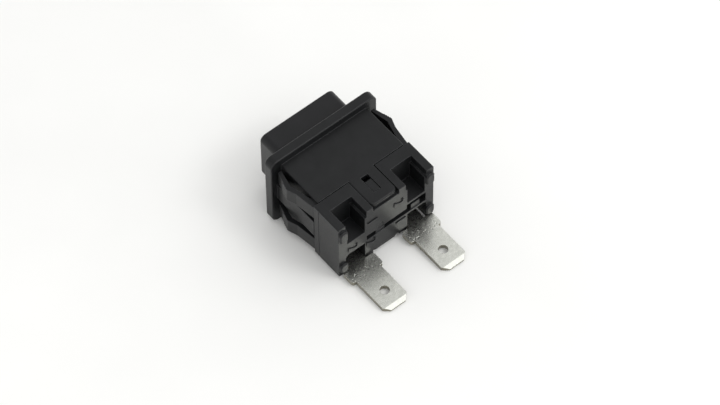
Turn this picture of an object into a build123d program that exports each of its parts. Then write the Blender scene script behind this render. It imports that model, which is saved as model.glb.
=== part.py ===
from build123d import *
from math import cos, pi, sin
import os

os.makedirs("parts", exist_ok=True)

# Snap-in panel push-button switch with two blade terminals, in millimetres.
# The origin is the centre of the flange's rear face, which seats on the panel.
# -Y is the user's side, +Y the terminals' side, +X right as seen from the front, +Z up.

# Panel cut-out, and the play of the body in it
cutout_width = 19.2
cutout_height = 13.0
panel_play = 0.1
body_width = cutout_width - 2 * panel_play
body_height = cutout_height - 2 * panel_play
body_top = body_height / 2

# Bezel flange
flange_overlap_x = 0.95
flange_overlap_z = 1.4
flange_width = cutout_width + 2 * flange_overlap_x
flange_height = cutout_height + 2 * flange_overlap_z
flange_thickness = 1.75
flange_corner = 1.3
flange_edge = 0.35
flange_back_edge = 0.12

# Sleeve behind the flange
leaf_room = 0.925
sleeve_width = body_width - 2 * leaf_room
sleeve_depth = 9.05
sleeve_wall = 0.95
sleeve_edge = 0.25
bore_width = sleeve_width - 2 * sleeve_wall
bore_height = body_height - 2 * sleeve_wall
bore_corner = 1.3
mouth_chamfer = 0.2

# Side ribs and snap leaves
rib_height = 3.8
leaf_gap = 1.0
leaf_height = 2.85
leaf_thickness = 0.85
leaf_root = 1.2
leaf_tuck = 0.1
leaf_knee_y = 3.8
leaf_knee_out = 1.0
leaf_shoulder = 1.6
leaf_shoulder_y = leaf_knee_y + leaf_shoulder
leaf_shoulder_out = 0.42
leaf_tip_y = 0.5
leaf_tip_out = 0.05
leaf_tip_thickness = 0.6
grip_count = 4
grip_pitch = 0.36
grip_depth = 0.1

# Latch tongues that hold the base, with their windows
tongue_width = 5.1
tongue_corner = 0.8
tongue_edge = 0.25
tongue_back = 0.3
tongue_play = 0.06
window_width = 1.44
window_front = 0.7
window_length = 3.35

# Base block and its spigot in the sleeve
seam = 0.15
base_length = 5.95
base_edge = 0.2
base_front = sleeve_depth + seam
base_rear = base_front + base_length
spigot_length = 1.6
spigot_play = 0.1
spigot_width = bore_width - 2 * spigot_play
spigot_height = bore_height - 2 * spigot_play
spigot_corner = bore_corner - spigot_play
spigot_front = base_front - spigot_length

# Catches of the base in the tongues' windows
catch_play = 0.1
catch_lead = 0.65
catch_low = 0.12
catch_ramp = 0.35

# Pockets in the base's top, side walls and the lugs at their rear ends
side_wall = 1.4
pocket_width = 4.2
pocket_wall = 2.2
pocket_drop = 5.3
ledge_drop = 1.55
ledge_width = 0.35
pocket_outer = body_width / 2 - side_wall
pocket_inner = pocket_outer - pocket_width
pocket_front = base_front + pocket_wall
pocket_floor = body_top - pocket_drop
lug_drop = 2.4
lug_z = body_top - lug_drop
lug_inset = 0.87
lug_x = body_width / 2 - lug_inset
lug_height = 2.9
lug_width = 1.6
lug_rear = 0.5
lug_seat = 0.5
lug_bevel = 0.22
foot_height = 2.25
foot_play = 0.1
score_setback = 1.05
score_width = 0.14
score_depth = 0.1

# Windows over the terminals, and the key slot across the base's rear
shelf = 1.45
slot_top = pocket_floor - shelf
slot_height = 1.2
slot_depth = 1.5
slot_margin = 0.15
slot_left = pocket_inner
slot_right = slot_margin - pocket_outer
lip = 0.4
port_top = slot_top - slot_height - lip
port_inner = pocket_inner + ledge_width
port_depth = 2.8
port_chamfer = 0.5
key_recess = 0.15
key_width = 1.7
key_places = (slot_left - 2.8, slot_right + 2.0)
thin_shelf = 0.45
thin_shelf_step = 0.25
gate_height = 1.2
gate_taper = 0.4
gate_depth = 0.25
heel_drop = 0.5
heel_depth = 1.5

# Blade terminals
blade_width = 4.8
blade_thickness = 0.8
blade_length = 7.4
blade_corner = 0.95
blade_bevel_length = 0.75
blade_bevel_drop = 0.25
blade_hole = 1.6
blade_hole_setback = 3.4
shoulder_width = 6.2
shoulder_length = 2.5
shoulder_round = 0.45
shoulder_play = 0.25
neck_width = 3.1
neck_gap = 0.1
terminal_x = port_inner + neck_gap + neck_width / 2
terminal_play = 0.05
terminal_top = blade_thickness - body_top
foot_z = terminal_top + foot_play + foot_height / 2
shoulder_front = base_rear + shoulder_play
blade_root = shoulder_front + shoulder_length
blade_tip = blade_root + blade_length

# Contact chamber of the base
chamber_wall = 0.75
chamber_width = spigot_width - 2 * chamber_wall
chamber_bottom = chamber_wall - spigot_height / 2
room_play = 0.3
cam_room_play = 0.2

# Contacts
contact_head = 2.4
contact_height = 0.6
contact_bevel = 0.15
contact_room = 0.475
contact_lift = 0.7
contact_x = (chamber_width - contact_head) / 2 - contact_room
contact_z = chamber_bottom + contact_head / 2 + contact_lift
contact_shank = 1.2
contact_gap = 2.0
contact_rest_gap = 0.03
rivet_tail = 1.7
rivet_tail_height = 0.25
leg_setback = 1.05
leg_rise = 0.3
leg_front = base_front + leg_setback
leg_top = contact_z + contact_head / 2 + leg_rise
fixed_face = leg_front - contact_height
moving_face = fixed_face - contact_gap - contact_rest_gap

# Bridge bar that the plunger carries
bridge_play = 0.375
bridge_length = chamber_width - 2 * bridge_play
bridge_height = 2.0
bridge_thickness = 0.6
bridge_corner = 0.6
bridge_rear = moving_face - contact_height
bridge_front = bridge_rear - bridge_thickness

# Push cap and its travel
travel = 3.5
cap_play = 0.3
cap_width = bore_width - 2 * cap_play
cap_height = bore_height - 2 * cap_play
cap_out = 5.25
cap_corner = 1.2
cap_edge = 0.35
cap_wall = 0.9
cap_roof = 1.2
cap_skirt = 1.0
cap_front = -flange_thickness - cap_out
cap_bore_width = cap_width - 2 * cap_wall
cap_bore_height = cap_height - 2 * cap_wall
roof_inside = cap_front + cap_roof

# Stop lugs of the cap, in grooves behind the side ribs
stop_front = 0.25
stop_height = 2.4
stop_reach = 0.7
stop_gap = 0.05
groove_play = 0.3

# Plunger in the cap
head_play = 0.06
head_thickness = 1.1
hook_reach = 0.4
hook_height = 3.0
hook_thickness = 0.5
hub_width = 5.4
hub_rear = 1.0
hub_top = cap_bore_height / 2 - head_play
cam_thickness = 0.9
cam_tail = 0.4
cam_width = 4.8
carrier_width = 3.4
carrier_wall = 0.55
carrier_play = 0.15
carrier_rear_wall = 0.75
carrier_window = 3.45
carrier_height = bridge_height + 2 * (carrier_play + carrier_wall)
carrier_rear = bridge_rear + contact_rest_gap + carrier_rear_wall

# Return spring and contact spring
spring_play = 0.25
spring_roof = hub_top - cam_thickness - spring_play
spring_floor = contact_z + carrier_height / 2 + spring_play
spring_z = (spring_roof + spring_floor) / 2
spring_diameter = spring_roof - spring_floor
spring_index = 9.5
spring_wire = spring_diameter / spring_index
spring_turns = 8
spring_seat = -1.0
spring_bore_play = 0.2
post_play = 0.3
post_diameter = spring_diameter - 2 * (spring_wire + post_play)
post_length = 1.8
post_taper = 8
post_chamfer = post_diameter / post_taper
contact_spring_diameter = 1.9
contact_spring_wire = 0.25
contact_spring_turns = 4
coil_steps = 12
wire_sides = 6

# Latch pin in the heart-shaped track of the plunger
pin_diameter = 0.6
pin_bend = 0.35
pin_lift = 0.1
pin_reach = 4.7
pivot_setback = 0.7
pin_pivot_y = base_front + pivot_setback
pin_tip_y = pin_pivot_y - pin_reach
pin_tip_depth = 0.5
pin_leg = 1.2
pin_swing = 1.1
pin_end_play = 0.1
cam_rear = pin_tip_y + cam_tail
track_depth = 0.65
track_play = 0.16
heart_width = 0.95
heart_notch = 0.3
pivot_play = 0.05

# Flat spring that holds the pin in the track
leaf_spring_width = 4.0
leaf_spring_thickness = 0.2
leaf_spring_reach = 1.7
leaf_spring_gap = 0.05
leaf_spring_play = 0.05


# Section plane at depth y, seen from the front: local x is X, local y is Z.
# A positive extrusion runs to the front, a negative one to the rear.
def across(y):
    return Plane.XZ.offset(-y)


# Snap leaf outline in plan: root at the sleeve, shoulder, knee, stepped grip, thin tip by the flange.
def leaf_points(side):
    root_in = sleeve_width / 2
    knee = body_width / 2 + leaf_knee_out
    tip = body_width / 2 + leaf_tip_out
    slope = (knee - tip) / (leaf_knee_y - leaf_tip_y)
    points = [
        (root_in - sleeve_wall / 2, sleeve_depth),
        (body_width / 2 - leaf_tuck, sleeve_depth),
        (body_width / 2 + leaf_shoulder_out, leaf_shoulder_y),
        (knee, leaf_knee_y),
    ]
    for step in range(1, grip_count + 1):
        y = leaf_knee_y - step * grip_pitch
        x = knee - slope * step * grip_pitch
        points += [(x + grip_depth, y), (x, y)]
    points += [
        (tip, leaf_tip_y),
        (tip - leaf_tip_thickness, leaf_tip_y),
        (knee - leaf_thickness, leaf_knee_y),
        (root_in, sleeve_depth - leaf_root),
        (root_in - sleeve_wall / 2, sleeve_depth - leaf_root),
    ]
    return [(side * x, y) for x, y in points]


# Bezel housing: flange, sleeve, ribs, leaves and latch tongues in one moulding
with BuildPart() as housing:
    with BuildSketch(across(0)):
        RectangleRounded(flange_width, flange_height, flange_corner)
    extrude(amount=flange_thickness)
    fillet(housing.faces().sort_by(Axis.Y)[0].edges(), flange_edge)
    chamfer(housing.faces().sort_by(Axis.Y)[-1].edges(), flange_back_edge)
    with BuildSketch(across(0)):
        RectangleRounded(sleeve_width, body_height, sleeve_edge)
        Rectangle(body_width, rib_height)
    extrude(amount=-sleeve_depth)
    leaf_low = rib_height / 2 + leaf_gap
    for leaf_z in (leaf_low, -leaf_low - leaf_height):
        with BuildSketch(Plane.XY.offset(leaf_z)):
            for side in (1, -1):
                with BuildLine():
                    Polyline(leaf_points(side), close=True)
                make_face()
        extrude(amount=leaf_height)
    tongue_length = base_rear - tongue_back - sleeve_depth
    for tongue_z in (body_top - sleeve_wall, -body_top):
        with BuildSketch(Plane.XY.offset(tongue_z)) as tongue:
            with Locations((0, sleeve_depth)):
                Rectangle(tongue_width, tongue_length, align=(Align.CENTER, Align.MIN))
            fillet(tongue.vertices().group_by(Axis.Y)[-1], tongue_corner)
            with Locations((0, sleeve_depth + window_front)):
                Rectangle(
                    window_width,
                    window_length,
                    align=(Align.CENTER, Align.MIN),
                    mode=Mode.SUBTRACT,
                )
        extrude(amount=sleeve_wall)
    top_rear_edge = housing.edges().filter_by(Axis.X).group_by(Axis.Y)[-1].sort_by(Axis.Z)[-1]
    fillet(top_rear_edge, tongue_edge)
    with BuildSketch(across(-flange_thickness)):
        RectangleRounded(bore_width, bore_height, bore_corner)
    extrude(amount=-flange_thickness - sleeve_depth, mode=Mode.SUBTRACT)
    with BuildSketch(across(stop_front - stop_gap)):
        Rectangle(cap_width + 2 * (stop_reach + groove_play), stop_height + 2 * groove_play)
    extrude(amount=stop_front - stop_gap - sleeve_depth, mode=Mode.SUBTRACT)
    mouth = housing.faces().sort_by(Axis.Y)[0].inner_wires()
    chamfer(mouth.edges(), mouth_chamfer)
housing.part.label = "bezel_housing"
export_step(housing.part, "parts/bezel_housing.step")

# Base: terminal block behind the seam, closing the sleeve with its spigot
with BuildPart() as base:
    with BuildSketch(across(base_front)):
        Rectangle(body_width, body_height)
    extrude(amount=-base_length)
    fillet(base.edges().filter_by(Axis.Y), base_edge)
    with BuildSketch(across(base_front)):
        RectangleRounded(spigot_width, spigot_height, spigot_corner)
    extrude(amount=spigot_length)

    # Contact chamber, room for the cam plate, and the well of the contact carrier
    with BuildSketch(across(spigot_front)):
        with Locations((0, chamber_bottom)):
            Rectangle(
                chamber_width,
                hub_top - cam_thickness - chamber_bottom,
                align=(Align.CENTER, Align.MIN),
            )
    extrude(amount=spigot_front - leg_front, mode=Mode.SUBTRACT)
    with BuildSketch(across(spigot_front)):
        with Locations((0, hub_top - cam_thickness - room_play)):
            Rectangle(
                cam_width + 2 * room_play,
                cam_thickness + 2 * room_play,
                align=(Align.CENTER, Align.MIN),
            )
    extrude(amount=spigot_front - cam_rear - travel - cam_room_play, mode=Mode.SUBTRACT)
    with BuildSketch(across(spigot_front)):
        with Locations((0, contact_z)):
            Rectangle(carrier_width + 2 * room_play, carrier_height + 2 * room_play)
    extrude(amount=spigot_front - carrier_rear - travel - room_play, mode=Mode.SUBTRACT)

    # Post for the return spring
    with BuildSketch(across(leg_front)):
        with Locations((0, spring_z)):
            Circle(post_diameter / 2)
    extrude(amount=post_length)
    post_end = base.edges().filter_by(GeomType.CIRCLE).filter_by_position(
        Axis.Y, leg_front - post_length - post_chamfer, leg_front - post_length + post_chamfer
    )
    chamfer(post_end, post_chamfer)

    # Recesses for the latch tongues, each with its catch
    for side in (1, -1):
        recess_floor = body_top - sleeve_wall - tongue_play
        with BuildSketch(Plane.XY.offset(side * recess_floor)):
            with Locations((0, base_front)):
                Rectangle(
                    tongue_width + 2 * tongue_play, base_length, align=(Align.CENTER, Align.MIN)
                )
        extrude(amount=side * (sleeve_wall + tongue_play), mode=Mode.SUBTRACT)
        catch_front = sleeve_depth + window_front + catch_lead
        catch_rear = sleeve_depth + window_front + window_length - catch_play
        catch_top = body_top - catch_low
        with BuildSketch(Plane.YZ):
            with BuildLine():
                Polyline(
                    (catch_front, side * recess_floor),
                    (catch_front, side * (catch_top - catch_ramp)),
                    (catch_front + catch_ramp, side * catch_top),
                    (catch_rear, side * catch_top),
                    (catch_rear, side * recess_floor),
                    close=True,
                )
            make_face()
        extrude(amount=window_width / 2 - catch_play, both=True)

    # Channel, pivot hole and spring seat of the latch pin, in the top of the spigot
    pin_z = hub_top + pin_lift + pin_diameter / 2
    with BuildSketch(Plane.XY.offset(pin_z - pin_diameter / 2 - pin_lift)):
        with Locations((0, spigot_front)):
            Rectangle(
                2 * (pin_swing + room_play),
                pin_pivot_y + pin_diameter / 2 + pin_end_play - spigot_front,
                align=(Align.CENTER, Align.MIN),
            )
    extrude(amount=body_top, mode=Mode.SUBTRACT)
    with BuildSketch(Plane.XY.offset(pin_z - pin_leg)):
        with Locations((0, pin_pivot_y)):
            Circle(pin_diameter / 2 + pivot_play)
    extrude(amount=pin_leg, mode=Mode.SUBTRACT)
    with BuildSketch(Plane.XY.offset(spigot_height / 2 - leaf_spring_thickness)):
        with Locations((0, spigot_front)):
            Rectangle(
                leaf_spring_width + 2 * leaf_spring_play,
                spigot_length,
                align=(Align.CENTER, Align.MIN),
            )
    extrude(amount=leaf_spring_thickness, mode=Mode.SUBTRACT)

    for side in (1, -1):
        # Top pocket, open to the rear, narrower below its two ledges
        for widen, floor in ((0, body_top - ledge_drop), (-ledge_width, pocket_floor)):
            with BuildSketch(Plane.XY.offset(floor)):
                with Locations((side * (pocket_inner + pocket_outer) / 2, pocket_front)):
                    Rectangle(
                        pocket_width + 2 * widen,
                        base_rear - pocket_front,
                        align=(Align.CENTER, Align.MIN),
                    )
            extrude(amount=body_top - floor, mode=Mode.SUBTRACT)
        # Window over the terminal, with its outer upper corner cut off
        with BuildSketch(across(base_rear)):
            with BuildLine():
                Polyline(
                    (side * port_inner, -body_top),
                    (side * port_inner, port_top),
                    (side * (pocket_outer - port_chamfer), port_top),
                    (side * pocket_outer, port_top - port_chamfer),
                    (side * pocket_outer, -body_top),
                    close=True,
                )
            make_face()
        extrude(amount=port_depth, mode=Mode.SUBTRACT)
        # Slot for the terminal's neck along the underside, and for its inner leg
        neck_slot = neck_width + 2 * terminal_play
        with BuildSketch(Plane.XY.offset(-body_top)):
            with Locations((side * terminal_x, leg_front)):
                Rectangle(neck_slot, base_rear - leg_front, align=(Align.CENTER, Align.MIN))
        extrude(amount=blade_thickness, mode=Mode.SUBTRACT)
        with BuildSketch(Plane.XY.offset(-body_top)):
            with Locations((side * terminal_x, leg_front)):
                Rectangle(
                    neck_slot, blade_thickness + terminal_play, align=(Align.CENTER, Align.MIN)
                )
        extrude(amount=leg_top + terminal_play + body_top, mode=Mode.SUBTRACT)

    # Key slot across the rear face, shallow over its two keys and higher below the right pocket
    with BuildSketch(across(base_rear)):
        with Locations(((slot_left + slot_right) / 2, slot_top)):
            Rectangle(slot_left - slot_right, slot_height, align=(Align.CENTER, Align.MAX))
    extrude(amount=key_recess, mode=Mode.SUBTRACT)
    slot_ends = [slot_left]
    for key_x in key_places:
        slot_ends += [key_x + key_width / 2, key_x - key_width / 2]
    slot_ends += [slot_right]
    with BuildSketch(across(base_rear)):
        for start, end in zip(slot_ends[::2], slot_ends[1::2]):
            with Locations(((start + end) / 2, slot_top)):
                Rectangle(start - end, slot_height, align=(Align.CENTER, Align.MAX))
        with Locations((slot_right, slot_top)):
            Rectangle(
                pocket_outer - slot_margin - pocket_inner - thin_shelf_step,
                shelf - thin_shelf,
                align=Align.MIN,
            )
    extrude(amount=slot_depth, mode=Mode.SUBTRACT)

    # Shallow gate recess above the first key
    gate_left = key_places[0] + key_width / 2
    gate_right = key_places[0] - key_width / 2
    with BuildSketch(across(base_rear)):
        with BuildLine():
            Polyline(
                (gate_left, slot_top - slot_height / 2),
                (gate_left - gate_taper, slot_top + gate_height),
                (gate_right + gate_taper, slot_top + gate_height),
                (gate_right, slot_top - slot_height / 2),
                close=True,
            )
        make_face()
    extrude(amount=gate_depth, mode=Mode.SUBTRACT)

    # Heel cut away beside the right window
    with BuildSketch(across(base_rear)):
        with Locations((-port_inner, -body_top)):
            Rectangle(port_inner - tongue_width / 2, heel_drop, align=Align.MIN)
    extrude(amount=heel_depth, mode=Mode.SUBTRACT)

    # Score line on each side wall
    with BuildSketch(across(base_front + score_setback)):
        for side in (1, -1):
            with Locations((side * body_width / 2, 0)):
                Rectangle(2 * score_depth, body_height)
    extrude(amount=-score_width, mode=Mode.SUBTRACT)

    # Rounded lugs at the rear ends of the side walls
    with BuildSketch(across(base_rear - lug_seat)):
        with Locations((lug_x, lug_z), (-lug_x, lug_z)):
            SlotOverall(lug_height, lug_width, rotation=90)
        with Locations((lug_x, foot_z), (-lug_x, foot_z)):
            SlotOverall(foot_height, lug_width, rotation=90)
    extrude(amount=-lug_seat - lug_rear)
    chamfer(base.faces().group_by(Axis.Y)[-1].edges(), lug_bevel)
base.part.label = "base"
export_step(base.part, "parts/base.step")

# Push cap: hollow block with a flat face, stop lugs on its skirt
with BuildPart() as cap:
    with BuildSketch(across(cap_skirt)):
        RectangleRounded(cap_width, cap_height, cap_corner)
    extrude(amount=cap_skirt - cap_front)
    fillet(cap.faces().sort_by(Axis.Y)[0].edges(), cap_edge)
    with BuildSketch(across(cap_skirt)):
        RectangleRounded(cap_bore_width, cap_bore_height, cap_corner - cap_wall)
    extrude(amount=cap_skirt - roof_inside, mode=Mode.SUBTRACT)
    with BuildSketch(across(stop_front)):
        Rectangle(cap_width + 2 * stop_reach, stop_height)
        Rectangle(cap_width - cap_wall, stop_height, mode=Mode.SUBTRACT)
    extrude(amount=stop_front - cap_skirt)
    hook_front = roof_inside + head_thickness - hook_thickness
    with BuildSketch(across(hook_front + hook_thickness + head_play)):
        Rectangle(cap_bore_width + 2 * (hook_reach + head_play), hook_height + 2 * head_play)
    extrude(amount=hook_thickness + 2 * head_play, mode=Mode.SUBTRACT)
cap.part.label = "button_cap"
export_step(cap.part, "parts/button_cap.step")

# Plunger: head plate hooked into the cap, hub, cam plate and contact carrier
with BuildPart() as plunger:
    with BuildSketch(across(roof_inside)):
        RectangleRounded(cap_bore_width - 2 * head_play, 2 * hub_top, cap_corner - cap_wall)
    extrude(amount=-head_thickness)
    with BuildSketch(across(hook_front)):
        Rectangle(cap_bore_width + 2 * hook_reach, hook_height)
    extrude(amount=-hook_thickness)
    with BuildSketch(across(roof_inside)):
        Rectangle(hub_width, 2 * hub_top)
    extrude(amount=roof_inside - hub_rear)
    with BuildSketch(across(hub_rear)):
        with Locations((0, hub_top)):
            Rectangle(cam_width, cam_thickness, align=(Align.CENTER, Align.MAX))
    extrude(amount=hub_rear - cam_rear)
    with BuildSketch(across(hub_rear)):
        with Locations((0, contact_z)):
            Rectangle(carrier_width, carrier_height)
    extrude(amount=hub_rear - carrier_rear)

    # Bore for the return spring, and the window that the bridge bar passes through
    with BuildSketch(across(hub_rear)):
        with Locations((0, spring_z)):
            Circle(spring_diameter / 2 + spring_bore_play)
    extrude(amount=hub_rear - spring_seat, mode=Mode.SUBTRACT)
    window_rear = carrier_rear - carrier_rear_wall
    with BuildSketch(Plane.YZ):
        with Locations((window_rear, contact_z)):
            Rectangle(
                carrier_window, bridge_height + 2 * carrier_play, align=(Align.MAX, Align.CENTER)
            )
    extrude(amount=carrier_width / 2, both=True, mode=Mode.SUBTRACT)

    # Heart-shaped track for the latch pin: going in along one side, held in the notch, back on the other
    track_half = pin_diameter / 2 + track_play
    track_end = pin_tip_y - travel
    with BuildSketch(Plane.XY.offset(hub_top - track_depth)):
        with BuildLine():
            Polyline(
                (track_half, cam_rear),
                (track_half, pin_tip_y),
                (pin_swing + track_half, track_end + track_half),
                (pin_swing + track_half, track_end - track_half),
                (-pin_swing - track_half, track_end - track_half),
                (-pin_swing - track_half, track_end + travel / 2),
                (-track_half, pin_tip_y),
                (-track_half, cam_rear),
                close=True,
            )
        make_face()
        heart_y = track_end + travel / 3
        heart_x = pin_swing / 3 - track_half - heart_width / 4
        with BuildLine():
            Polyline(
                (heart_x - heart_width / 4, pin_tip_y - travel / 3),
                (heart_x + heart_width / 2, heart_y),
                (heart_x, heart_y + heart_notch),
                (heart_x - heart_width / 2, heart_y),
                close=True,
            )
        make_face(mode=Mode.SUBTRACT)
    extrude(amount=track_depth, mode=Mode.SUBTRACT)
plunger.part.label = "plunger"
export_step(plunger.part, "parts/plunger.step")

# Latch pin: wire with one leg in the base's pivot hole and a short one in the track
with BuildPart() as pin:
    with BuildLine() as wire:
        Polyline(
            (0, pin_pivot_y, pin_z - pin_leg + pivot_play),
            (0, pin_pivot_y, pin_z - pin_bend),
            (0, pin_pivot_y - pin_bend, pin_z),
            (0, pin_tip_y + pin_bend, pin_z),
            (0, pin_tip_y, pin_z - pin_bend),
            (0, pin_tip_y, hub_top - pin_tip_depth),
        )
    with BuildSketch(Plane(origin=wire.line @ 0, z_dir=wire.line % 0)):
        Circle(pin_diameter / 2)
    sweep(transition=Transition.RIGHT)
pin.part.label = "latch_pin"
export_step(pin.part, "parts/latch_pin.step")

# Flat spring clamped between spigot and sleeve, its free end just over the pin
with BuildPart() as leaf_spring:
    spring_low = spigot_height / 2 - leaf_spring_thickness
    pin_over = pin_z + pin_diameter / 2 + leaf_spring_gap
    with BuildSketch(Plane.YZ):
        with BuildLine():
            Polyline(
                (base_front - seam, spring_low),
                (base_front - seam, spring_low + leaf_spring_thickness),
                (spigot_front, spring_low + leaf_spring_thickness),
                (spigot_front - leaf_spring_reach, pin_over + leaf_spring_thickness),
                (spigot_front - leaf_spring_reach, pin_over),
                (spigot_front, spring_low),
                close=True,
            )
        make_face()
    extrude(amount=leaf_spring_width / 2, both=True)
leaf_spring.part.label = "latch_spring"
export_step(leaf_spring.part, "parts/latch_spring.step")

# Blade terminals with their inner legs, and the fixed contacts riveted to them
for side, name in ((1, "left"), (-1, "right")):
    with BuildPart() as terminal:
        with BuildSketch(Plane.XY.offset(-body_top)) as plan:
            with Locations((side * terminal_x, blade_tip)):
                Rectangle(blade_width, blade_length, align=(Align.CENTER, Align.MAX))
            chamfer(plan.vertices().group_by(Axis.Y)[-1], blade_corner)
            with Locations((side * terminal_x, blade_root)):
                RectangleRounded(
                    shoulder_width, shoulder_length, shoulder_round, align=(Align.CENTER, Align.MAX)
                )
            with Locations((side * terminal_x, leg_front)):
                Rectangle(
                    neck_width, blade_root - leg_front, align=(Align.CENTER, Align.MIN)
                )
            with Locations((side * terminal_x, blade_tip - blade_hole_setback)):
                Circle(blade_hole / 2, mode=Mode.SUBTRACT)
        extrude(amount=blade_thickness)
        tip_edges = terminal.edges().filter_by(Axis.X).group_by(Axis.Y)[-1]
        tip_face = terminal.faces().sort_by(Axis.Y)[-1]
        chamfer(tip_edges, length=blade_bevel_drop, length2=blade_bevel_length, reference=tip_face)
        with BuildSketch(across(leg_front)):
            with Locations((side * terminal_x, -body_top)):
                Rectangle(neck_width, leg_top + body_top, align=(Align.CENTER, Align.MIN))
            with Locations((side * contact_x, contact_z)):
                Circle(contact_shank / 2, mode=Mode.SUBTRACT)
        extrude(amount=-blade_thickness)
    terminal.part.label = f"terminal_{name}"
    export_step(terminal.part, f"parts/terminal_{name}.step")

    with BuildPart() as fixed_contact:
        with BuildSketch(across(leg_front)):
            with Locations((side * contact_x, contact_z)):
                Circle(contact_head / 2)
        extrude(amount=contact_height)
        chamfer(fixed_contact.edges().sort_by(Axis.Y)[0], contact_bevel)
        with BuildSketch(across(leg_front)):
            with Locations((side * contact_x, contact_z)):
                Circle(contact_shank / 2)
        extrude(amount=-blade_thickness)
    fixed_contact.part.label = f"fixed_contact_{name}"
    export_step(fixed_contact.part, f"parts/fixed_contact_{name}.step")

    with BuildPart() as moving_contact:
        with BuildSketch(across(bridge_rear)):
            with Locations((side * contact_x, contact_z)):
                Circle(contact_head / 2)
        extrude(amount=-contact_height)
        chamfer(moving_contact.edges().sort_by(Axis.Y)[-1], contact_bevel)
        with BuildSketch(across(bridge_rear)):
            with Locations((side * contact_x, contact_z)):
                Circle(contact_shank / 2)
        extrude(amount=bridge_thickness)
        with BuildSketch(across(bridge_front)):
            with Locations((side * contact_x, contact_z)):
                Circle(rivet_tail / 2)
        extrude(amount=rivet_tail_height)
    moving_contact.part.label = f"moving_contact_{name}"
    export_step(moving_contact.part, f"parts/moving_contact_{name}.step")

# Bridge bar across both contacts, held in the carrier's window
with BuildPart() as bridge:
    with BuildSketch(across(bridge_rear)):
        with Locations((0, contact_z)):
            RectangleRounded(bridge_length, bridge_height, bridge_corner)
        with Locations((contact_x, contact_z), (-contact_x, contact_z)):
            Circle(contact_shank / 2, mode=Mode.SUBTRACT)
    extrude(amount=bridge_thickness)
bridge.part.label = "bridge_bar"
export_step(bridge.part, "parts/bridge_bar.step")


# Coil spring along Y from y_start to y_end, centred at height z: wire sections joined round the helix
def coil(label, diameter, wire_diameter, turns, y_start, y_end, z):
    radius = (diameter - wire_diameter) / 2
    rise = (y_end - y_start - wire_diameter) / (turns * coil_steps)
    with BuildPart() as spring:
        for step in range(turns * coil_steps + 1):
            angle = 2 * pi * step / coil_steps
            outward = Vector(cos(angle), 0, sin(angle))
            centre = outward * radius + Vector(0, y_start + wire_diameter / 2 + rise * step, z)
            with BuildSketch(Plane(centre, x_dir=outward, z_dir=(-sin(angle), 0, cos(angle)))):
                RegularPolygon(wire_diameter / 2, wire_sides)
        loft(ruled=True)
    spring.part.label = label
    export_step(spring.part, f"parts/{label}.step")


coil("return_spring", spring_diameter, spring_wire, spring_turns, spring_seat, leg_front, spring_z)
coil(
    "contact_spring",
    contact_spring_diameter,
    contact_spring_wire,
    contact_spring_turns,
    window_rear - carrier_window,
    bridge_front,
    contact_z,
)
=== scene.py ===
import math
import bmesh
import bpy
from mathutils import Matrix, Vector


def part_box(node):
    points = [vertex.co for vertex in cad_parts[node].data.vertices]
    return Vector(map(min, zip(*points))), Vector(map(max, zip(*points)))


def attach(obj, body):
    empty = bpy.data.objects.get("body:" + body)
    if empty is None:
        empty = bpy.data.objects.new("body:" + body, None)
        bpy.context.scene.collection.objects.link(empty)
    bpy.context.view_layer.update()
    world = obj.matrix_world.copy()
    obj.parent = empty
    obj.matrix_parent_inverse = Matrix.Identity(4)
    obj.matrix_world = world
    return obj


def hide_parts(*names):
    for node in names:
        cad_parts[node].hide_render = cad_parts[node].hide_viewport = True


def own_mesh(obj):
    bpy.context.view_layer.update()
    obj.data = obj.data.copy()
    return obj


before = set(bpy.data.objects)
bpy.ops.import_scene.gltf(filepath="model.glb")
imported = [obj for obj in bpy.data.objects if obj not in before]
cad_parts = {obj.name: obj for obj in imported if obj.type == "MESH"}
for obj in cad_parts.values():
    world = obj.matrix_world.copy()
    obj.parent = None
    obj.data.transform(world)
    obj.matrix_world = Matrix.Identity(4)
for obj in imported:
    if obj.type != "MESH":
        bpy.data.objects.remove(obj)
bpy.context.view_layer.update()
scene = bpy.context.scene
scene.view_settings.view_transform = "Standard"
mm = 0.001  # the frame is in metres
print("frame loaded:", len(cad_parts), "nodes")


def linear(hexColour):
    parts = [int(hexColour[i:i + 2], 16) / 255 for i in (1, 3, 5)]
    parts = [p / 12.92 if p <= 0.04045 else ((p + 0.055) / 1.055) ** 2.4 for p in parts]
    return (*parts, 1.0)


def addNode(tree, kind, output, inputs=None, **settings):  # gives back the socket to link onwards
    node = tree.nodes.new(kind)
    for name, value in settings.items():
        setattr(node, name, value)
    for name, value in (inputs or {}).items():
        if isinstance(value, bpy.types.NodeSocket):
            tree.links.new(value, node.inputs[name])
        else:
            node.inputs[name].default_value = value
    return node.outputs[output]


def newMaterial(name):
    material = bpy.data.materials.new(name)
    material.use_nodes = True
    tree = material.node_tree
    place = addNode(tree, "ShaderNodeTexCoord", "Object")
    return material, tree, tree.nodes["Principled BSDF"], place


mixA, mixB, mixOut = 6, 7, 2  # the Mix node's colour sockets
noiseSpan = {"From Min": 0.3, "From Max": 0.7}  # the part of a noise that is used
noiseDetail = {
    "grain": 3.0, "cloud": 4.0, "speck": 5.0, "scratch": 2.0, "dent": 2.0, "scuff": 2.0, "paper": 3.0,
}
# how the paler edges are spread: a painted edge highlight, partly edge wear
edgeWearAndHighlight = {"samples": 6, "wornAndLitAt": 0.8, "flatAt": 0.99}


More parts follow.
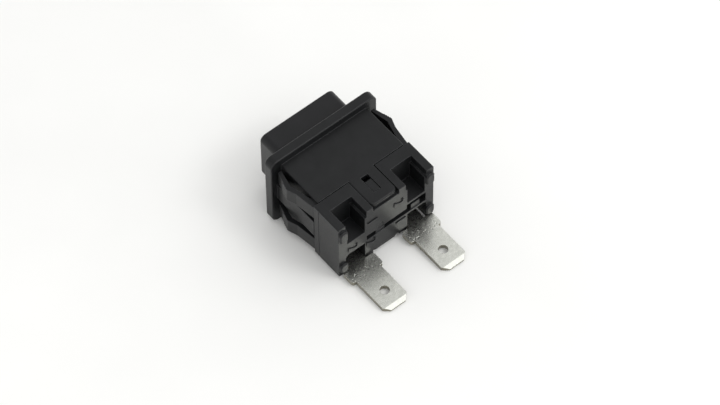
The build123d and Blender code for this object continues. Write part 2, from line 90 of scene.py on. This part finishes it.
def paleEdgesWornAndLit(tree, radiusMm):  # 0 on the flats, 1 on the rounded edges, where the paler colour is painted as edge highlight and edge wear; with the rounded normal beside it
    radius = {"Radius": radiusMm * mm}
    rounded = addNode(tree, "ShaderNodeBevel", "Normal", radius, samples=edgeWearAndHighlight["samples"])
    flat = addNode(tree, "ShaderNodeNewGeometry", "Normal")
    same = addNode(tree, "ShaderNodeVectorMath", "Value", {0: rounded, 1: flat}, operation="DOT_PRODUCT")
    span = {"From Min": edgeWearAndHighlight["wornAndLitAt"], "From Max": edgeWearAndHighlight["flatAt"], "To Min": 1.0, "To Max": 0.0}
    return addNode(tree, "ShaderNodeMapRange", "Result", {"Value": same, **span}), rounded


# Glass-filled nylon, moulded in a spark-eroded tool: near black with a fine matte grain,
# a dull sheen, and edges painted a little paler as a painted highlight, partly edge wear
housingLook = {
    "deep": "#111213", "pale": "#18191a", "rubbedAndLit": "#3d3e40",
    "grainMm": 0.11, "grainDepth": 0.16, "cloudMm": 2.6, "edgeMm": 0.13,
    "roughLow": 0.32, "roughHigh": 0.44, "gloss": 0.28,
}
# The same nylon from a finer tool: a satin push cap
capLook = {
    "deep": "#131415", "pale": "#19191b", "rubbedAndLit": "#38393b",
    "grainMm": 0.08, "grainDepth": 0.1, "cloudMm": 3.5, "edgeMm": 0.1,
    "roughLow": 0.3, "roughHigh": 0.4, "gloss": 0.3,
}
# Natural acetal, moulded: waxy off-white with faint flow clouds
plungerLook = {
    "deep": "#d8d4c6", "pale": "#e6e3d8", "rubbedAndLit": "#efece3",
    "grainMm": 0.15, "grainDepth": 0.06, "cloudMm": 2.0, "edgeMm": 0.1,
    "roughLow": 0.3, "roughHigh": 0.42, "gloss": 0.5,
}
grainReliefMm = 0.02


def mouldedPlastic(name, look):  # the grain is drawn a little coarser than the tool's, so that it shows
    material, tree, shader, place = newMaterial(name)
    marks = {}
    for kind in ("grain", "cloud"):
        inputs = {"Vector": place, "Scale": 1 / (look[kind + "Mm"] * mm), "Detail": noiseDetail[kind]}
        marks[kind] = addNode(tree, "ShaderNodeTexNoise", "Fac", inputs)
    edge, rounded = paleEdgesWornAndLit(tree, look["edgeMm"])
    share = addNode(tree, "ShaderNodeMapRange", "Result", {"Value": marks["cloud"], **noiseSpan})
    tones = {"Factor": share, mixA: linear(look["deep"]), mixB: linear(look["pale"])}
    body = addNode(tree, "ShaderNodeMix", mixOut, tones, data_type="RGBA")
    # paler rounded edges: a painted edge highlight, partly edge wear
    wearAndHighlight = {"Factor": edge, mixA: body, mixB: linear(look["rubbedAndLit"])}
    wornAndLit = addNode(tree, "ShaderNodeMix", mixOut, wearAndHighlight, data_type="RGBA")
    tree.links.new(wornAndLit, shader.inputs["Base Color"])
    rough = {"Value": marks["grain"], **noiseSpan, "To Min": look["roughLow"], "To Max": look["roughHigh"]}
    tree.links.new(addNode(tree, "ShaderNodeMapRange", "Result", rough), shader.inputs["Roughness"])
    relief = {"Height": marks["grain"], "Strength": look["grainDepth"], "Distance": grainReliefMm * mm}
    bump = addNode(tree, "ShaderNodeBump", "Normal", {**relief, "Normal": rounded})
    tree.links.new(bump, shader.inputs["Normal"])
    shader.inputs["Specular IOR Level"].default_value = look["gloss"]  # the grain takes part of the gloss
    return material


# Tin-plated brass strip, stamped: satin grey with a fine speckle and drawn scratches along the blade,
# sides painted darker as painted shade, partly duller sheared metal, paler rims as painted highlight and
# edge wear, and small marks where the shoulders were gripped
tabLook = {
    "deep": "#cacbc4", "pale": "#dadbd4", "rubbedAndLit": "#dcdcd5", "cut": "#8b887c", "faceAxis": "Z",
    "speckMm": 0.45, "scratchMm": 0.12, "scratchRun": (1, 0.06, 1), "dentMm": 0.9, "edgeMm": 0.06,
    "roughLow": 0.24, "roughHigh": 0.31, "scuffY": 17.2, "scuffReach": 1.1, "scuffMm": 0.4,
}
# Rolled brass strip of the bridge, faint rolling lines along it
bridgeLook = {
    "deep": "#a98447", "pale": "#c8a463", "rubbedAndLit": "#dcc084", "cut": "#9c7a44", "faceAxis": "Y",
    "speckMm": 0.3, "scratchMm": 0.1, "scratchRun": (0.05, 1, 1), "dentMm": 1.2, "edgeMm": 0.06,
    "roughLow": 0.24, "roughHigh": 0.38,
}
# Silver contact rivets, headed: bright with a thin warm tarnish
contactLook = {
    "deep": "#b9b5a8", "pale": "#dcdad2", "rubbedAndLit": "#eeede8", "cut": "#c4c0b4", "faceAxis": "Y",
    "speckMm": 0.4, "scratchMm": 0.08, "scratchRun": (1, 1, 0.3), "dentMm": 0.6, "edgeMm": 0.05,
    "roughLow": 0.16, "roughHigh": 0.3,
}
# Drawn spring wire: grey steel with fine die lines
wireLook = {
    "deep": "#6e6f70", "pale": "#8f9091", "rubbedAndLit": "#b0b0b0", "cut": "#7a7b7c", "faceAxis": "Y",
    "speckMm": 0.2, "scratchMm": 0.06, "scratchRun": (1, 0.2, 1), "dentMm": 0.8, "edgeMm": 0.04,
    "roughLow": 0.22, "roughHigh": 0.36,
}
metalRelief = {  # strength, and height in mm
    "scratch": (0.1, 0.02), "dent": (0.1, 0.06), "scuff": (0.45, 0.06),
}
shearedAndShadedSpan = {"From Min": 0.2, "From Max": 0.6, "To Min": 1.0, "To Max": 0.0}  # the strip's side faces only, painted darker as painted shade, partly duller sheared metal
scuffSpan = {"From Min": 0.58, "From Max": 0.68}  # only the peaks of the noise leave a mark
scuffRun = (1, 0.6, 1)


def workedMetal(name, look):
    material, tree, shader, place = newMaterial(name)
    runs = {"speck": (1, 1, 1), "scratch": look["scratchRun"], "dent": (1, 1, 1)}
    if "scuffY" in look:
        runs["scuff"] = scuffRun
    marks = {}
    for kind, run in runs.items():
        spread = addNode(tree, "ShaderNodeMapping", "Vector", {"Vector": place, "Scale": run})
        inputs = {"Vector": spread, "Scale": 1 / (look[kind + "Mm"] * mm), "Detail": noiseDetail[kind]}
        marks[kind] = addNode(tree, "ShaderNodeTexNoise", "Fac", inputs)
    edge, rounded = paleEdgesWornAndLit(tree, look["edgeMm"])
    share = addNode(tree, "ShaderNodeMapRange", "Result", {"Value": marks["speck"], **noiseSpan})
    tones = {"Factor": share, mixA: linear(look["deep"]), mixB: linear(look["pale"])}
    body = addNode(tree, "ShaderNodeMix", mixOut, tones, data_type="RGBA")
    # sides that face away from the strip's face axis are painted darker: painted shade, partly duller
    # sheared metal
    trueNormal = addNode(tree, "ShaderNodeNewGeometry", "True Normal")
    facing = addNode(tree, "ShaderNodeSeparateXYZ", look["faceAxis"], {"Vector": trueNormal})
    upright = addNode(tree, "ShaderNodeMath", "Value", {0: facing}, operation="ABSOLUTE")
    shearedAndShaded = addNode(tree, "ShaderNodeMapRange", "Result", {"Value": upright, **shearedAndShadedSpan})
    cutTones = {"Factor": shearedAndShaded, mixA: body, mixB: linear(look["cut"])}
    strip = addNode(tree, "ShaderNodeMix", mixOut, cutTones, data_type="RGBA")
    # paler rims: a painted edge highlight, partly edge wear
    wearAndHighlight = {"Factor": edge, mixA: strip, mixB: linear(look["rubbedAndLit"])}
    wornAndLit = addNode(tree, "ShaderNodeMix", mixOut, wearAndHighlight, data_type="RGBA")
    tree.links.new(wornAndLit, shader.inputs["Base Color"])
    rough = {"Value": marks["speck"], **noiseSpan, "To Min": look["roughHigh"], "To Max": look["roughLow"]}
    tree.links.new(addNode(tree, "ShaderNodeMapRange", "Result", rough), shader.inputs["Roughness"])
    if "scuff" in marks:  # kept to a band across the shoulders, and pressed in
        along = addNode(tree, "ShaderNodeSeparateXYZ", "Y", {"Vector": place})
        middle = look["scuffY"] * mm
        offset = addNode(tree, "ShaderNodeMath", "Value", {0: along, 1: middle}, operation="SUBTRACT")
        away = addNode(tree, "ShaderNodeMath", "Value", {0: offset}, operation="ABSOLUTE")
        reach = look["scuffReach"] * mm
        band = {"From Min": reach / 2, "From Max": reach, "To Min": 1.0, "To Max": 0.0}
        zone = addNode(tree, "ShaderNodeMapRange", "Result", {"Value": away, **band})
        pits = addNode(tree, "ShaderNodeMapRange", "Result", {"Value": marks["scuff"], **scuffSpan})
        marks["scuff"] = addNode(tree, "ShaderNodeMath", "Value", {0: zone, 1: pits}, operation="MULTIPLY")
    normal = rounded
    for kind in [k for k in metalRelief if k in marks]:
        strength, height = metalRelief[kind]
        inputs = {"Height": marks[kind], "Strength": strength, "Distance": height * mm, "Normal": normal}
        normal = addNode(tree, "ShaderNodeBump", "Normal", inputs, invert=kind == "scuff")
    tree.links.new(normal, shader.inputs["Normal"])
    shader.inputs["Metallic"].default_value = 1.0
    return material


nylon = mouldedPlastic("mouldedBlackNylon", housingLook)
capNylon = mouldedPlastic("satinBlackNylon", capLook)
acetal = mouldedPlastic("naturalAcetal", plungerLook)
tin = workedMetal("tinPlatedBrass", tabLook)
brass = workedMetal("rolledBrass", bridgeLook)
silver = workedMetal("contactSilver", contactLook)
steel = workedMetal("drawnSpringSteel", wireLook)
finishes = {
    "bezel_housing": nylon, "base": nylon, "button_cap": capNylon, "plunger": acetal,
    "terminal_left": tin, "terminal_right": tin, "bridge_bar": brass,
    "fixed_contact_left": silver, "fixed_contact_right": silver,
    "moving_contact_left": silver, "moving_contact_right": silver,
    "latch_pin": steel, "latch_spring": steel, "return_spring": steel, "contact_spring": steel,
}
for node, finish in finishes.items():
    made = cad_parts[node]
    made.data.materials.clear()
    made.data.materials.append(finish)
print("materials set on", len(finishes), "nodes")


def finishedPiece(name, shape, material):  # an object at the origin, with its place in its mesh
    mesh = bpy.data.meshes.new(name)
    shape.to_mesh(mesh)
    shape.free()
    mesh.materials.append(material)
    piece = bpy.data.objects.new(name, mesh)
    scene.collection.objects.link(piece)
    return piece


# Terminal numbers moulded on the base's rear face, lying on their side with their tops to the right
numbers = {
    "size": 2.9, "narrow": 0.8, "proud": 0.14, "sunk": 0.04, "faceY": 15.15, "weld": 0.002,
    "marks": {  # digit, x and z
        "upperOne": ("1", 2.7, 2.9), "upperTwo": ("2", -2.85, 3.0),
        "lowerTwo": ("2", 2.7, -2.6), "lowerOne": ("1", -2.9, -2.3), "shelfTwo": ("2", 6.3, -0.75),
    },
}
lying = Matrix(((0, -1, 0), (0, 0, 1), (-1, 0, 0))).to_4x4()  # text x down, y right, z to the rear
away = numbers["faceY"] + (numbers["proud"] - numbers["sunk"]) / 2
for name, (digit, x, z) in numbers["marks"].items():
    text = bpy.data.curves.new(name, "FONT")
    text.body = digit
    text.size = numbers["size"] * mm
    text.align_x, text.align_y = "CENTER", "CENTER"
    text.extrude = (numbers["proud"] + numbers["sunk"]) / 2 * mm
    draft = bpy.data.objects.new(name, text)
    mark = bmesh.new()
    mark.from_mesh(bpy.data.meshes.new_from_object(draft))
    bpy.data.objects.remove(draft)
    middle = sum((v.co for v in mark.verts), Vector()) / len(mark.verts)
    bmesh.ops.translate(mark, verts=mark.verts, vec=-middle)
    bmesh.ops.scale(mark, verts=mark.verts, vec=(numbers["narrow"], 1, 1))
    bmesh.ops.remove_doubles(mark, verts=mark.verts, dist=numbers["weld"] * mm)
    bmesh.ops.recalc_face_normals(mark, faces=mark.faces)
    seat = Matrix.Translation(Vector((x, away, z)) * mm) @ lying
    bmesh.ops.transform(mark, verts=mark.verts, matrix=seat)
    piece = finishedPiece(name, mark, nylon)
    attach(piece, "housing")
print("numbers moulded:", len(numbers["marks"]))

# Coil springs in round wire, each put on its body in place of the frame's coil
coils = {
    "returnCoil": {
        "node": "return_spring", "body": "housing", "held": "rear", "wire": 0.4, "turns": 8, "closes": 3.5,
    },
    "contactCoil": {
        "node": "contact_spring", "body": "button", "held": "front", "wire": 0.25, "turns": 4, "closes": 1.5,
    },
}
winding = {"stepsPerTurn": 28, "wireSides": 10}
for name, coil in coils.items():
    low, high = (Vector(corner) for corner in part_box(coil["node"]))
    middle = (low + high) / 2
    span = high - low
    wire = coil["wire"] * mm
    steps = coil["turns"] * winding["stepsPerTurn"]
    ring = bmesh.new()
    bmesh.ops.create_circle(ring, segments=winding["wireSides"], radius=wire / 2)
    bmesh.ops.translate(ring, verts=ring.verts, vec=(high.x - wire / 2, low.y + wire / 2, middle.z))
    bmesh.ops.spin(
        ring, geom=ring.verts[:] + ring.edges[:], cent=(middle.x, 0, middle.z), axis=(0, -1, 0),
        dvec=(0, (span.y - wire) / steps, 0), angle=2 * math.pi * coil["turns"], steps=steps,
    )
    bmesh.ops.holes_fill(ring, edges=[e for e in ring.edges if e.is_boundary])
    bmesh.ops.recalc_face_normals(ring, faces=ring.faces)
    for face in ring.faces:
        face.smooth = len(face.verts) == 4  # the wire's ends stay flat
    piece = finishedPiece(name, ring, steel)
    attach(piece, coil["body"])
    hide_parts(coil["node"])
    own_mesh(piece)
print("springs wound:", len(coils))

# Pale floor under the flange's lower edge and the blades' undersides, so it leans a little against the frame
floorLook = {
    "restY": -0.12, "restZ": -7.92, "lean": 3.48, "reach": 3.0, "cells": 4,
    "colour": "#f6f6f4", "mottled": "#f1f1ef", "mottleMm": 40.0, "rough": 0.9, "gloss": 0.0,
}
material, tree, shader, place = newMaterial("palePaper")  # uncoated paper sweep, evenly pale
inputs = {"Vector": place, "Scale": 1 / (floorLook["mottleMm"] * mm), "Detail": noiseDetail["paper"]}
mottle = addNode(tree, "ShaderNodeTexNoise", "Fac", inputs)
share = addNode(tree, "ShaderNodeMapRange", "Result", {"Value": mottle, **noiseSpan})
tones = {"Factor": share, mixA: linear(floorLook["mottled"]), mixB: linear(floorLook["colour"])}
paper = addNode(tree, "ShaderNodeMix", mixOut, tones, data_type="RGBA")
tree.links.new(paper, shader.inputs["Base Color"])
shader.inputs["Roughness"].default_value = floorLook["rough"]
shader.inputs["Specular IOR Level"].default_value = floorLook["gloss"]
grid = bmesh.new()
bmesh.ops.create_grid(
    grid, x_segments=floorLook["cells"], y_segments=floorLook["cells"], size=floorLook["reach"],
)
bmesh.ops.rotate(grid, verts=grid.verts, matrix=Matrix.Rotation(math.radians(floorLook["lean"]), 3, "X"))
bmesh.ops.translate(grid, verts=grid.verts, vec=Vector((0, floorLook["restY"], floorLook["restZ"])) * mm)
floor = finishedPiece("paleFloor", grid, material)
print("floor made")

# Soft lamps: a large softbox overhead towards the blades, and a small one behind it
# that shines off the blades onto the rear; places and sizes in metres
lamps = {
    "overheadSoftbox": {"place": (-0.2, 0.3, 0.62), "size": 1.15, "power": 3.4},
    "rearFill": {"place": (-0.32, 0.52, 0.75), "size": 0.25, "power": 1.2},
}
for name, lamp in lamps.items():
    data = bpy.data.lights.new(name, "AREA")
    data.size = lamp["size"]
    data.energy = lamp["power"]
    made = bpy.data.objects.new(name, data)
    made.location = lamp["place"]
    made.rotation_euler = (-Vector(lamp["place"])).to_track_quat("-Z", "Y").to_euler()
    scene.collection.objects.link(made)

# Room: white walls round the horizon, a greyer ceiling above them
room = {"wall": 1.0, "ceiling": 0.63, "wallTop": 0.3, "ceilingFrom": 0.7}
world = bpy.data.worlds.new("whiteRoom")
world.use_nodes = True
scene.world = world
tree = world.node_tree
background = tree.nodes["Background"]
towards = addNode(tree, "ShaderNodeTexCoord", "Generated")
height = addNode(tree, "ShaderNodeSeparateXYZ", "Z", {"Vector": towards})
rise = {"From Min": room["wallTop"], "From Max": room["ceilingFrom"]}
level = {"Value": height, **rise, "To Min": room["wall"], "To Max": room["ceiling"]}
tree.links.new(addNode(tree, "ShaderNodeMapRange", "Result", level), background.inputs["Strength"])
background.inputs["Color"].default_value = (1, 1, 1, 1)
print("light set")

# Camera at the photo's angle, its lens worked out for a picture 720 wide and 405 high
shot = {
    "azimuth": 38.721, "elevation": 56.324, "roll": -0.679, "aim": (-0.715, 7.825, -3.83),
    "distance": 669.5, "focalPx": 4279.9, "widthPx": 720, "sensor": 36.0, "near": 0.01, "far": 20.0,
}
azimuth = math.radians(shot["azimuth"])
elevation = math.radians(shot["elevation"])
outwards = math.cos(elevation)
back = Vector((math.sin(azimuth) * outwards, math.cos(azimuth) * outwards, math.sin(elevation)))
cameraData = bpy.data.cameras.new("photoCamera")
cameraData.sensor_width = shot["sensor"]
cameraData.lens = shot["focalPx"] / shot["widthPx"] * cameraData.sensor_width
cameraData.clip_start = shot["near"]
cameraData.clip_end = shot["far"]
camera = bpy.data.objects.new("photoCamera", cameraData)
scene.collection.objects.link(camera)
turn = (-back).to_track_quat("-Z", "Y").to_matrix() @ Matrix.Rotation(math.radians(shot["roll"]), 3, "Z")
stand = Vector(shot["aim"]) + back * shot["distance"]
camera.matrix_world = Matrix.Translation(stand * mm) @ turn.to_4x4()
scene.camera = camera
print("camera set")
